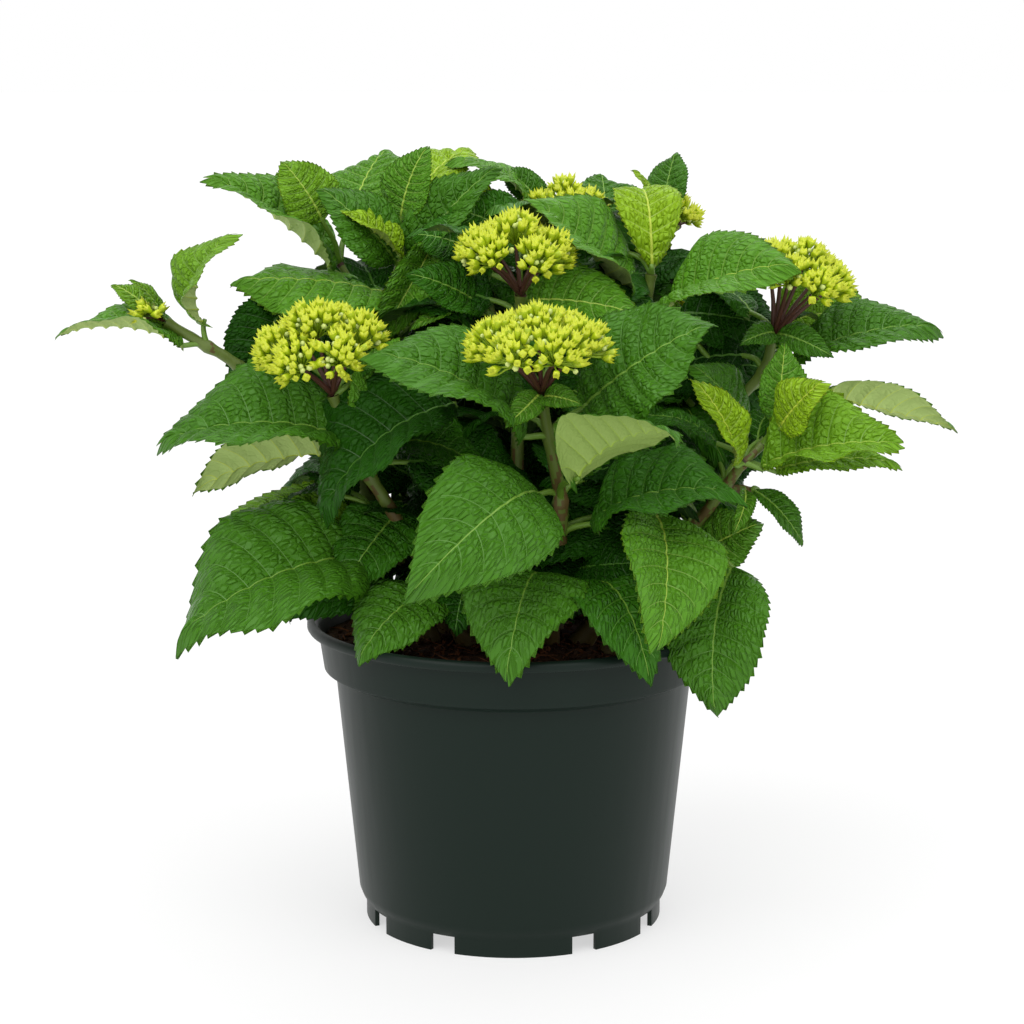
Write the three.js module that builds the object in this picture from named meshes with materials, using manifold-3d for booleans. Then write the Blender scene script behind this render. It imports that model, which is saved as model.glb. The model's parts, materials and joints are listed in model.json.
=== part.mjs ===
// A mophead hydrangea in bud, in the moulded nursery pot that it is sold in.
// Millimetres, +Z up. The origin is the middle of the pot's foot, on the ground. -Y is the front.
// Nodes: the pot, the potting compost, one tapering stem for each shoot and one uneven solid for each
// mass of leaves. The masses stand round a hollow middle that the stems climb through, as on the plant.

import * as THREE from "three";
import { mergeVertices } from "three/addons/utils/BufferGeometryUtils.js";
import Module from "manifold-3d";

const wasm = await Module();
wasm.setup();

// Driving dimensions of the pot.
const potHeight = 178;
const rimRadius = 120;
const lipHeight = 6;
const lipWidth = 4.5;
const collarTopRadius = 113.5;
const collarFootRadius = 110.5;
const collarHeight = 22;
const shoulderHeight = 4;
const bodyTopRadius = 103.6;
const bodyFootRadius = 91;
const footHeight = 10;
const footRadius = 88;
const wall = 1.8;
const baseThickness = 2;
const potSides = 36;
const clearanceSides = 20;

// The foot is a ring that eight drain notches part into four wide feet and four narrow ones.
const wideFootAngle = 44;
const narrowFootAngle = 23;
const notchDepth = 26;
const drainSlot = { length: 12, width: 9, radius: 75 };

// Compost, filled to just under the rim.
const compostTop = 168;
const compostEdgeDrop = 3;
const flatCompostRadius = 55;

// Gaps: between parts that touch, between two masses, and from a stem to a mass that it passes.
const touchGap = 0.4;
const massGap = 1.5;
const stemClearance = 1.2;

// Stems are woody at the foot, flare where they leave the compost and taper to the mass that they enter.
const stemFootRadius = 5.4;
const stemTipRadius = 3.2;
const stemFlare = 0.45;
const flareHeight = 14;
const stemSides = 7;
const stemSteps = 9;

// Masses: facets along an icosahedron's edge, and how uneven the surface is, as a share of its size.
const massDetail = 3;
const smallMassDetail = 2;
const smallMassReach = 47;
const unevenness = 0.13;
const lobeSpread = 0.42;

// One row for each shoot: its foot on the compost as x, y, then the points that its stem passes, and the
// mass of leaves that it ends in.
const shoots = [
  { name: "front", foot: [20, -30], route: [[24, -52, 212], [27, -76, 258]], into: "front_right" },
  { name: "front_left", foot: [-6, -34], route: [[-20, -66, 210]], into: "front_left" },
  { name: "front_low", foot: [4, -58], route: [], into: "front_low" },
  { name: "left", foot: [-26, -20], route: [[-56, -36, 225], [-80, -50, 268]], into: "left" },
  { name: "left_low", foot: [-48, -14], route: [[-66, -26, 196]], into: "left_low" },
  { name: "left_long", foot: [-36, 10], route: [[-92, -4, 268], [-156, -20, 326]], into: "left_tip" },
  { name: "upper_left", foot: [-16, 14], route: [[-44, 24, 260], [-74, 30, 330]], into: "upper_left" },
  { name: "top", foot: [0, -10], route: [[2, -20, 260], [4, -26, 330]], into: "top" },
  { name: "top_back", foot: [4, 22], route: [[14, 36, 260], [22, 52, 330]], into: "back_top" },
  { name: "upper_right", foot: [22, 8], route: [[46, 20, 260], [70, 26, 330]], into: "upper_right" },
  { name: "right", foot: [42, -4], route: [[86, -4, 250], [130, -8, 306]], into: "right" },
  { name: "right_mid", foot: [38, -24], route: [[66, -28, 204], [100, -32, 240]], into: "right_mid" },
  { name: "right_low", foot: [56, -42], route: [], into: "right_low" },
  { name: "back_left", foot: [-20, 36], route: [[-52, 58, 232], [-76, 76, 266]], into: "back_left" },
  { name: "back_right", foot: [26, 30], route: [[54, 58, 232], [80, 78, 266]], into: "back_right" },
  { name: "back", foot: [2, 44], route: [[4, 74, 226], [4, 98, 256]], into: "back" },
  { name: "back_left_low", foot: [-46, 36], route: [], into: "back_left_low" },
  { name: "back_right_low", foot: [50, 32], route: [], into: "back_right_low" },
  { name: "back_low", foot: [2, 66], route: [], into: "back_low" },
];

// One row for each mass: its middle, its reach along x, y and z, and the leaf tips that stand out of it.
const masses = [
  {
    name: "front_left",
    middle: [-46, -100, 270],
    reach: [50, 42, 62],
    tips: [[-52, -190, 226], [-84, -118, 350]],
  },
  {
    name: "front_right",
    middle: [76, -94, 288],
    reach: [54, 42, 64],
    tips: [[112, -118, 362], [88, -190, 262]],
  },
  {
    name: "front_low",
    middle: [8, -98, 204],
    reach: [70, 34, 30],
    tips: [[-4, -131, 166], [78, -112, 162]],
  },
  {
    name: "left",
    middle: [-114, -56, 310],
    reach: [52, 48, 50],
    tips: [[-196, -80, 292], [-188, -20, 262]],
  },
  {
    name: "left_low",
    middle: [-100, -50, 216],
    reach: [56, 48, 34],
    tips: [[-187, -90, 178], [-150, -30, 252]],
  },
  {
    name: "left_tip",
    middle: [-198, -28, 351],
    reach: [22, 22, 15],
    tips: [[-256, -30, 346], [-158, -25, 394]],
  },
  {
    name: "upper_left",
    middle: [-88, 24, 392],
    reach: [54, 54, 46],
    tips: [[-178, 20, 434], [-81, 60, 450], [-28, 56, 447]],
  },
  {
    name: "top",
    middle: [10, -18, 380],
    reach: [54, 50, 42],
    tips: [[-12, 14, 432], [40, -50, 414]],
  },
  {
    name: "upper_right",
    middle: [96, 22, 392],
    reach: [48, 52, 40],
    tips: [[95, 74, 443], [150, -14, 388]],
  },
  {
    name: "right",
    middle: [156, 4, 350],
    reach: [46, 50, 40],
    tips: [[243, 0, 350], [170, -30, 394]],
  },
  {
    name: "right_mid",
    middle: [148, -42, 280],
    reach: [50, 44, 34],
    tips: [[212, -84, 293], [256, 0, 287]],
  },
  {
    name: "right_low",
    middle: [106, -62, 214],
    reach: [46, 46, 38],
    tips: [[104, -106, 144], [160, -20, 226]],
  },
  {
    name: "back_top",
    middle: [16, 84, 386],
    reach: [54, 50, 40],
    tips: [[-18, 140, 414], [62, 132, 408]],
  },
  {
    name: "back_left",
    middle: [-108, 96, 318],
    reach: [56, 56, 56],
    tips: [[-190, 136, 330], [-150, 176, 290]],
  },
  {
    name: "back_right",
    middle: [120, 98, 316],
    reach: [56, 56, 56],
    tips: [[200, 124, 322], [150, 178, 286]],
  },
  {
    name: "back",
    middle: [6, 142, 296],
    reach: [56, 38, 62],
    tips: [[-30, 190, 268], [52, 190, 322]],
  },
  {
    name: "back_left_low",
    middle: [-96, 72, 218],
    reach: [52, 54, 34],
    tips: [[-164, 124, 178], [-150, 62, 206]],
  },
  {
    name: "back_right_low",
    middle: [96, 68, 218],
    reach: [50, 54, 34],
    tips: [[156, 118, 182], [150, 52, 212]],
  },
  {
    name: "back_low",
    middle: [2, 112, 208],
    reach: [52, 36, 34],
    tips: [[-34, 168, 158], [48, 164, 166]],
  },
];

const materials = {
  pot: new THREE.MeshStandardMaterial({ color: "#22302c", roughness: 0.42 }),
  compost: new THREE.MeshStandardMaterial({ color: "#35221a", roughness: 0.95 }),
  stem: new THREE.MeshStandardMaterial({ color: "#7d8a3c", roughness: 0.6 }),
  leaf: new THREE.MeshStandardMaterial({ color: "#3c7a26", roughness: 0.5 }),
};

const point = (values) => new THREE.Vector3(...values);

// A closed geometry as a manifold-3d solid, facing out.
function toSolid(geometry) {
  const bare = geometry.clone();
  for (const name of ["normal", "uv"]) bare.deleteAttribute(name);
  const merged = mergeVertices(bare, 1e-4);
  return new wasm.Manifold(
    new wasm.Mesh({
      numProp: 3,
      vertProperties: new Float32Array(merged.attributes.position.array),
      triVerts: new Uint32Array(merged.index.array),
    }),
  );
}

// A solid back as a geometry. Where a cut has left crumbs, only the largest body is kept.
function toGeometry(solid) {
  const bodies = solid.decompose().sort((a, b) => b.volume() - a.volume());
  const mesh = bodies[0].getMesh();
  return new THREE.BufferGeometry()
    .setAttribute("position", new THREE.BufferAttribute(mesh.vertProperties, 3))
    .setIndex(new THREE.BufferAttribute(mesh.triVerts, 1));
}

// An outline of [radius, height] points, turned round +Z.
function turned(outline, sides = potSides) {
  const points = outline.map(([radius, height]) => new THREE.Vector2(radius, height));
  return new THREE.LatheGeometry(points, sides).rotateX(Math.PI / 2);
}

function makePot() {
  const collarTop = potHeight - lipHeight;
  const collarFoot = collarTop - collarHeight;
  const bodyTop = collarFoot - shoulderHeight;
  const bodyFoot = footHeight + 6;
  const base = footHeight + baseThickness;
  const outside = [
    [0, footHeight],
    [footRadius - 2 * wall, footHeight],
    [footRadius - 2 * wall, 0],
    [footRadius - 1, 0],
    [footRadius, 2],
    [footRadius + 0.5, footHeight],
    [bodyFootRadius, bodyFoot],
    [bodyTopRadius, bodyTop],
    [collarFootRadius, collarFoot],
    [collarTopRadius, collarTop],
    [rimRadius - 1.5, collarTop],
    [rimRadius, collarTop + 1.5],
    [rimRadius, potHeight - 1.5],
    [rimRadius - 1.5, potHeight],
  ];
  const inside = [
    [rimRadius - lipWidth, potHeight],
    [collarTopRadius - wall, collarTop],
    [collarFootRadius - wall, collarFoot + 1],
    [bodyTopRadius - wall, bodyTop],
    [bodyFootRadius - wall, bodyFoot],
    [bodyFootRadius - 4 * wall, base],
    [0, base],
  ];
  let pot = toSolid(turned([...outside, ...inside]));
  const notchAngle = (90 - wideFootAngle - narrowFootAngle) / 2;
  const notchWidth = footRadius * THREE.MathUtils.degToRad(notchAngle);
  const notchCentre = (wideFootAngle + notchAngle) / 2;
  for (let quarter = 0; quarter < 4; quarter++) {
    for (const side of [-1, 1]) {
      const turn = THREE.MathUtils.degToRad(quarter * 90 + side * notchCentre);
      const notch = new THREE.BoxGeometry(notchWidth, notchDepth, 2 * footHeight - 1)
        .translate(0, footRadius, 0)
        .rotateZ(turn);
      const drain = new THREE.BoxGeometry(drainSlot.length, drainSlot.width, 2 * footHeight)
        .translate(0, drainSlot.radius, footHeight)
        .rotateZ(turn);
      pot = pot.subtract(toSolid(notch)).subtract(toSolid(drain));
    }
  }
  return toGeometry(pot);
}

function makeCompost() {
  const collarFoot = potHeight - lipHeight - collarHeight;
  const edgeTop = compostTop - compostEdgeDrop;
  const rise = (edgeTop - collarFoot) / collarHeight;
  const collarGrowth = (collarTopRadius - collarFootRadius) * rise;
  const outline = [
    [0, footHeight + baseThickness + touchGap],
    [bodyFootRadius - 4 * wall - touchGap, footHeight + baseThickness + touchGap],
    [bodyFootRadius - wall - touchGap, footHeight + 6 + touchGap],
    [bodyTopRadius - wall - touchGap, collarFoot - shoulderHeight + touchGap],
    [collarFootRadius - wall - touchGap, collarFoot + 1 + touchGap],
    [collarFootRadius + collarGrowth - wall - 2 * touchGap, edgeTop],
    [flatCompostRadius, compostTop],
    [0, compostTop],
  ];
  return turned(outline);
}

// A cylinder laid along the shoot's route: flared and cut flat at the compost, tapering to its tip.
function makeStem(shoot, extraRadius = 0) {
  const foot = point([...shoot.foot, compostTop + touchGap]);
  const mass = masses.find((each) => each.name === shoot.into);
  const collar = foot.clone().setZ(foot.z + flareHeight);
  const route = [foot, collar, ...shoot.route.map(point), point(mass.middle)];
  const curve = new THREE.CatmullRomCurve3(route, false, "centripetal");
  const frames = curve.computeFrenetFrames(stemSteps, false);
  const geometry = new THREE.CylinderGeometry(1, 1, 1, stemSides, stemSteps);
  const position = geometry.attributes.position;
  for (let i = 0; i < position.count; i++) {
    const step = Math.round((position.getY(i) + 0.5) * stemSteps);
    const share = step / stemSteps;
    const place = curve.getPointAt(share);
    const flare = stemFlare * Math.exp(-(place.z - foot.z) / flareHeight);
    const radius = THREE.MathUtils.lerp(stemFootRadius, stemTipRadius, share) * (1 + flare) + extraRadius;
    place.addScaledVector(frames.binormals[step], position.getX(i) * radius);
    place.addScaledVector(frames.normals[step], position.getZ(i) * radius);
    if (step === 0) place.z = foot.z;
    position.setXYZ(i, place.x, place.y, place.z);
  }
  const solid = toSolid(geometry);
  return solid.volume() > 0 ? solid : toSolid(flipped(geometry));
}

function flipped(geometry) {
  const index = geometry.index.array;
  for (let i = 0; i < index.length; i += 3) [index[i], index[i + 1]] = [index[i + 1], index[i]];
  return geometry;
}

// Numbers from 0 to 1 that are the same in every build.
function seededNumbers(seed) {
  let state = seed;
  return () => {
    state = (state * 1664525 + 1013904223) % 4294967296;
    return state / 4294967296;
  };
}

const size = (mass) => mass.reach.reduce((sum, value) => sum + value) / 3;

// How far a mass may reach in one direction before it meets a neighbour: the plane that parts them
// stands between the two middles in proportion to their sizes.
function roomTowards(mass, direction) {
  let room = Infinity;
  for (const other of masses) {
    if (other === mass) continue;
    const across = point(other.middle).sub(point(mass.middle));
    const planeAt = (across.length() * size(mass)) / (size(mass) + size(other)) - massGap / 2;
    const closing = direction.dot(across.normalize());
    if (closing > 1e-6) room = Math.min(room, planeAt / closing);
  }
  return room;
}

// A ball of leaves: an icosahedron whose corners go out to its uneven reach, with a lobe at each tip.
function makeMass(mass, seed, extra = 0) {
  const detail = size(mass) < smallMassReach ? smallMassDetail : massDetail;
  const ball = new THREE.IcosahedronGeometry(1, detail).deleteAttribute("normal").deleteAttribute("uv");
  const geometry = mergeVertices(ball, 1e-4);
  const position = geometry.attributes.position;
  const random = seededNumbers(seed);
  const middle = point(mass.middle);
  const waves = Array.from({ length: 7 }, () => {
    const height = 2 * random() - 1;
    const turn = 2 * Math.PI * random();
    const across = Math.sqrt(1 - height * height);
    return {
      along: new THREE.Vector3(across * Math.cos(turn), across * Math.sin(turn), height),
      phase: 2 * Math.PI * random(),
      pace: 3 + 4 * random(),
    };
  });
  const tips = mass.tips.map((tip) => {
    const away = point(tip).sub(middle);
    return { reach: away.length(), direction: away.clone().normalize() };
  });
  const directions = Array.from({ length: position.count }, (_, i) =>
    new THREE.Vector3().fromBufferAttribute(position, i),
  );
  const drawn = new Map();
  for (const tip of tips) {
    const order = directions.map((direction, i) => [direction.angleTo(tip.direction), i]);
    const nearest = order.filter(([, i]) => !drawn.has(i)).sort((a, b) => a[0] - b[0])[0][1];
    drawn.set(nearest, tip);
  }
  directions.forEach((direction, i) => {
    const tipHere = drawn.get(i);
    const heading = tipHere ? tipHere.direction : direction;
    const body = 1 / heading.clone().divide(point(mass.reach)).length();
    let ripple = 0;
    for (const wave of waves) ripple += Math.cos(wave.pace * heading.dot(wave.along) + wave.phase);
    let reach = body * (1 + (unevenness * ripple) / 2);
    for (const tip of tips) {
      const off = heading.angleTo(tip.direction) / lobeSpread;
      reach += Math.max(0, tip.reach - body) * 0.55 * Math.exp(-off * off);
    }
    if (tipHere) reach = Math.max(reach, tipHere.reach);
    reach = Math.min(reach, roomTowards(mass, heading)) + extra;
    position.setXYZ(i, ...middle.clone().addScaledVector(heading, reach).toArray());
  });
  return toSolid(geometry);
}

// What a mass keeps clear of at the pot: its rim and wall on the outside, the compost on the inside.
function makePotClearance() {
  const clear = 1.5;
  const overRim = potHeight + clear;
  const overCompost = compostTop + 3;
  const outline = [
    [0, -potHeight],
    [rimRadius + clear, -potHeight],
    [rimRadius + clear, overRim],
    [rimRadius - lipWidth - 3, overRim],
    [collarFootRadius - 4, overCompost],
    [0, overCompost],
  ];
  return toSolid(turned(outline, clearanceSides));
}

const plant = new THREE.Group();
function add(name, geometry, material) {
  const mesh = new THREE.Mesh(geometry, material);
  mesh.name = name;
  plant.add(mesh);
}

add("pot", makePot(), materials.pot);
add("compost", makeCompost(), materials.compost);

const potClearance = makePotClearance();
masses.forEach((mass, i) => {
  let solid = makeMass(mass, 11 + 7 * i).subtract(potClearance);
  for (const shoot of shoots) {
    if (shoot.into !== mass.name) solid = solid.subtract(makeStem(shoot, stemClearance));
  }
  add(`foliage_${mass.name}`, toGeometry(solid), materials.leaf);
});
for (const shoot of shoots) {
  const seed = 11 + 7 * masses.findIndex((each) => each.name === shoot.into);
  const entered = makeMass(masses.find((each) => each.name === shoot.into), seed, touchGap);
  add(`stem_${shoot.name}`, toGeometry(makeStem(shoot).subtract(entered)), materials.stem);
}

export default plant;
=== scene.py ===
import json
import math
import random

import bpy
import numpy as np
from mathutils import Matrix, Vector, noise


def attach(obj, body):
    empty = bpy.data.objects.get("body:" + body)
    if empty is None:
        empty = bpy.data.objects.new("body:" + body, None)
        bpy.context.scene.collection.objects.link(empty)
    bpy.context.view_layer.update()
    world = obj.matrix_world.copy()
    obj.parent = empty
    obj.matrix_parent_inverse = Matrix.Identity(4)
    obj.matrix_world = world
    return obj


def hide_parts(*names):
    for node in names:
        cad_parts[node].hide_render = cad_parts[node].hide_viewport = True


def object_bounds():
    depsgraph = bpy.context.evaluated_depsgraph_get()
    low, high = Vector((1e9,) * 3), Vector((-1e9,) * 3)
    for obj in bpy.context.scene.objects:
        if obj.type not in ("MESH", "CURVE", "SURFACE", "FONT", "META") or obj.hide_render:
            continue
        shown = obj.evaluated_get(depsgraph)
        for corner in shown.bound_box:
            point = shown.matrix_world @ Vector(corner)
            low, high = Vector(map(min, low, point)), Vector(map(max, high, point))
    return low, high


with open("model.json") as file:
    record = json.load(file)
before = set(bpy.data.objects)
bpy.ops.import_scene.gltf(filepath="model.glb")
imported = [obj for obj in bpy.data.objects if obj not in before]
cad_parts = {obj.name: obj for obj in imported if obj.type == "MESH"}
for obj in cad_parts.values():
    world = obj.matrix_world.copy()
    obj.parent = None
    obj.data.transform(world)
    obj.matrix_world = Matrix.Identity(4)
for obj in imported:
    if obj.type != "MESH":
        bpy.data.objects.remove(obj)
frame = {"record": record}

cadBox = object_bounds()
mm = 0.001
print("the packed model is loaded")


# helpers: selecting, colours, nodes, meshes from arrays
def selectOnly(piece=None):
    if bpy.context.mode != "OBJECT":
        bpy.ops.object.mode_set(mode="OBJECT")
    bpy.ops.object.select_all(action="DESELECT")
    if piece:
        piece.select_set(True)
        bpy.context.view_layer.objects.active = piece


def linear(hexColour):
    channels = [int(hexColour[i:i + 2], 16) / 255 for i in (1, 3, 5)]
    return [c / 12.92 if c <= 0.04045 else ((c + 0.055) / 1.055) ** 2.4 for c in channels] + [1.0]


def newMaterial(name, colour, roughness, **sockets):
    material = bpy.data.materials.new(name)
    material.use_nodes = True
    material.diffuse_color = linear(colour)
    shader = material.node_tree.nodes["Principled BSDF"]
    shader.inputs["Base Color"].default_value = linear(colour)
    shader.inputs["Roughness"].default_value = roughness
    for socket, value in sockets.items():
        shader.inputs[socket.replace("_", " ")].default_value = value
    return material, shader


# one node with its settings, its values and its links
def addNode(owner, kind, settings=None, values=None, links=None):
    node = owner.node_tree.nodes.new(kind)
    for name, value in (settings or {}).items():
        setattr(node, name, value)
    for name, value in (values or {}).items():
        node.inputs[name].default_value = value
    for name, socket in (links or {}).items():
        owner.node_tree.links.new(socket, node.inputs[name])
    return node


def meshPiece(name, points, faces, slots, materials, smooth=True, uv=None):
    mesh = bpy.data.meshes.new(name)
    mesh.from_pydata(np.asarray(points).tolist(), [], faces)
    for material in materials:
        mesh.materials.append(material)
    mesh.polygons.foreach_set("material_index", np.asarray(slots, dtype=np.int32))
    mesh.polygons.foreach_set("use_smooth", np.full(len(mesh.polygons), smooth))
    if uv is not None:
        layer = mesh.uv_layers.new(name="bladeNet")
        corner = np.empty(len(mesh.loops), dtype=np.int32)
        mesh.loops.foreach_get("vertex_index", corner)
        layer.data.foreach_set("uv", np.asarray(uv, dtype=np.float32)[corner].ravel())
    mesh.update()
    piece = bpy.data.objects.new(name, mesh)
    bpy.context.scene.collection.objects.link(piece)
    return piece


# many small meshes are piled up and become one piece
def newPile():
    return {"points": [], "faces": [], "slots": [], "nets": [], "count": 0}


def addToPile(pile, points, faces, slots, nets=None):
    pile["points"].append(points)
    pile["faces"] += [[pile["count"] + i for i in face] for face in faces]
    pile["slots"] += slots
    pile["count"] += len(points)
    if nets is not None:
        pile["nets"].append(nets)


def pilePiece(name, pile, materials, smooth=True):
    nets = np.vstack(pile["nets"]) if pile["nets"] else None
    return meshPiece(name, np.vstack(pile["points"]), pile["faces"], pile["slots"], materials, smooth, nets)


def unit(vector):
    vector = np.asarray(vector, dtype=float)
    return vector / (np.linalg.norm(vector) + 1e-12)


def heading(turn, rise):
    turn, rise = math.radians(turn), math.radians(rise)
    return np.array([math.cos(rise) * math.cos(turn), math.cos(rise) * math.sin(turn), math.sin(rise)])


# injection-moulded polypropylene, satin, with the fine grain of the mould and faint run marks up the wall
def polypropylene():
    material, shader = newMaterial("polypropyleneMoulded", "#121f19", 0.36, Specular_IOR_Level=0.16)
    place = addNode(material, "ShaderNodeTexCoord").outputs["Object"]
    grain = addNode(material, "ShaderNodeTexNoise", values={"Scale": 900, "Detail": 2},
                    links={"Vector": place})
    runs = addNode(material, "ShaderNodeMapping", values={"Scale": (160, 160, 9)}, links={"Vector": place})
    streak = addNode(material, "ShaderNodeTexNoise", values={"Scale": 1, "Detail": 3},
                     links={"Vector": runs.outputs["Vector"]})
    polish = addNode(material, "ShaderNodeMapRange", values={"To Min": 0.33, "To Max": 0.47},
                     links={"Value": streak.outputs["Fac"]})
    bump = addNode(material, "ShaderNodeBump", values={"Strength": 0.12, "Distance": 0.0002},
                   links={"Height": grain.outputs["Fac"]})
    material.node_tree.links.new(polish.outputs["Result"], shader.inputs["Roughness"])
    material.node_tree.links.new(bump.outputs["Normal"], shader.inputs["Normal"])
    return material


# moist peat and bark compost: dull, crumbs of 2 to 6 mm, nothing glossy
def peat(name, colour, dark):
    material, shader = newMaterial(name, colour, 0.92, Specular_IOR_Level=0.2)
    place = addNode(material, "ShaderNodeTexCoord").outputs["Object"]
    crumb = addNode(material, "ShaderNodeTexVoronoi", values={"Scale": 260}, links={"Vector": place})
    speck = addNode(material, "ShaderNodeTexNoise", values={"Scale": 420, "Detail": 4},
                    links={"Vector": place})
    tint = addNode(material, "ShaderNodeMix", {"data_type": "RGBA"}, links={"Factor": speck.outputs["Fac"]})
    tint.inputs["A"].default_value = linear(dark)
    tint.inputs["B"].default_value = linear(colour)
    bump = addNode(material, "ShaderNodeBump", values={"Strength": 0.9, "Distance": 0.002},
                   links={"Height": crumb.outputs["Distance"]})
    material.node_tree.links.new(tint.outputs["Result"], shader.inputs["Base Color"])
    material.node_tree.links.new(bump.outputs["Normal"], shader.inputs["Normal"])
    return material


# soft hydrangea leaf skin: a waxy satin, puckered between veinlets that cross from vein to vein every 3 mm
def leafSkin(name, colour, roughness, pucker=0.5, **sockets):
    material, shader = newMaterial(name, colour, roughness, **sockets)
    place = addNode(material, "ShaderNodeUVMap", {"uv_map": "bladeNet"}).outputs["UV"]
    cells = addNode(material, "ShaderNodeTexVoronoi", {"feature": "DISTANCE_TO_EDGE"},
                    {"Scale": 1.0, "Randomness": 0.8}, {"Vector": place})
    swell = addNode(material, "ShaderNodeMapRange", {"interpolation_type": "SMOOTHSTEP"},
                    {"From Min": -0.08, "From Max": 0.3}, {"Value": cells.outputs["Distance"]})
    bump = addNode(material, "ShaderNodeBump", {}, {"Strength": pucker, "Distance": 0.0014},
                   {"Height": swell.outputs["Result"]})
    material.node_tree.links.new(bump.outputs["Normal"], shader.inputs["Normal"])
    return material


# half-woody shoot skin: ribbed lengthwise, with corky dots of a millimetre
def shootSkin(name, colour, roughness, ridge=0.4):
    material, shader = newMaterial(name, colour, roughness)
    place = addNode(material, "ShaderNodeTexCoord").outputs["Object"]
    along = addNode(material, "ShaderNodeMapping", values={"Scale": (900, 900, 90)}, links={"Vector": place})
    fibre = addNode(material, "ShaderNodeTexNoise", values={"Scale": 1, "Detail": 3},
                    links={"Vector": along.outputs["Vector"]})
    bump = addNode(material, "ShaderNodeBump", values={"Strength": ridge, "Distance": 0.0004},
                   links={"Height": fibre.outputs["Fac"]})
    material.node_tree.links.new(bump.outputs["Normal"], shader.inputs["Normal"])
    return material


potPlastic = polypropylene()
peatBed = peat("peatCompost", "#4a2d1c", "#1c100a")
peatFibre = peat("barkFibre", "#7a4a2c", "#3a2012")

# leaf tones dealt out leaf by leaf, from dark to lime: the darkest skins, undersides and veins are painted
# shade for leaves inside and under the crown, and the lime ones are partly new growth and partly a painted
# glow of light shining through the leaf
leafTones = ["#153a07", "#214f0a", "#31650f", "#407316", "#52881c", "#6a9a1c", "#86ad18", "#a3bf2a"]
underTones = ["#2f4c20", "#47652f", "#668046", "#8ea757", "#a6bd70", "#a9bd78", "#a2b85c", "#a9c244"]
veinTones = ["#2a5214", "#4a7a20", "#6c942e", "#93b03a", "#aebf3a"]
leafGloss = [0.08, 0.11, 0.15] + [0.2] * 5  # duller in the shade
bladeSkins = [leafSkin("leafSkin%d" % i, tone, 0.38, 0.95, Specular_IOR_Level=gloss)
              for i, (tone, gloss) in enumerate(zip(leafTones, leafGloss))]
underSkins = [leafSkin("leafUnder%d" % i, tone, 0.6, 0.3, Specular_IOR_Level=0.15)
              for i, tone in enumerate(underTones)]
veinSkins = [leafSkin("leafVein%d" % i, tone, 0.5, 0.1) for i, tone in enumerate(veinTones)]
leafSlots = bladeSkins + underSkins + veinSkins
underSlot, veinSlot = len(bladeSkins), len(bladeSkins + underSkins)

stalkGreen = shootSkin("leafStalk", "#668a2c", 0.45, 0.2)
shootGreen = shootSkin("shootGreen", "#5d7028", 0.5, 0.3)
shootTan = shootSkin("shootHalfWoody", "#5a4a20", 0.6, 0.5)
nodeBrown = shootSkin("shootNode", "#3d2218", 0.6, 0.5)
flowerStalk = shootSkin("flowerStalk", "#4c2a1e", 0.5, 0.2)
budLime = shootSkin("budLime", "#a9bf14", 0.45, 0.1)
budYellow = shootSkin("budTip", "#c6d226", 0.45, 0.1)
budGreen = shootSkin("budGreen", "#93b01a", 0.5, 0.1)
budCream = shootSkin("budCream", "#c9d67c", 0.5, 0.1)
print("the materials are mixed")


# the pot is one ring of edges, extruded up the outside, over the lip and down the inside
pot = {
    "sides": 144,
    # radius and height in mm, up the outside to the rim and down the inside to the floor
    "outside": [(87, 10), (89.5, 14), (91, 18), (103.4, 144), (103.8, 146.5), (106.8, 148.5), (110.4, 150),
                (110.6, 151.5), (113.2, 169), (113.6, 171.5), (117.6, 171.9), (119.2, 172.4), (120, 173.6),
                (120, 175.6), (119.2, 177), (117.6, 177.8)],
    "inside": [(115.8, 177.6), (114.4, 176.2), (112, 172), (108.8, 151), (102, 146), (89.2, 18), (84, 12)],
    "footRing": 84.4,  # inner radius
    "wideFoot": 22.5,  # half angles
    "narrowFoot": 12.5,
    "drain": (70, 80),
    "drainDepth": 1.2,
    "rounding": 0.7,  # of every edge
}
level = 0.01 * mm  # points closer than this are at one height


def extrudeRing(radius, height, last):
    bpy.ops.mesh.extrude_region_move()
    bpy.ops.transform.translate(value=(0, 0, (height - last[1]) * mm))
    grow = radius / last[0]
    bpy.ops.transform.resize(value=(grow, grow, 1), center_override=(0, 0, height * mm))
    return radius, height


def chooseFaces(piece, wanted):
    bpy.ops.mesh.select_all(action="DESELECT")
    bpy.ops.object.mode_set(mode="OBJECT")
    for polygon in piece.data.polygons:
        polygon.select = wanted(polygon)
    bpy.ops.object.mode_set(mode="EDIT")


def footOrGap(angle):
    toWide = abs((angle + 45) % 90 - 45)
    return toWide < pot["wideFoot"] or 45 - toWide < pot["narrowFoot"]


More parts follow.
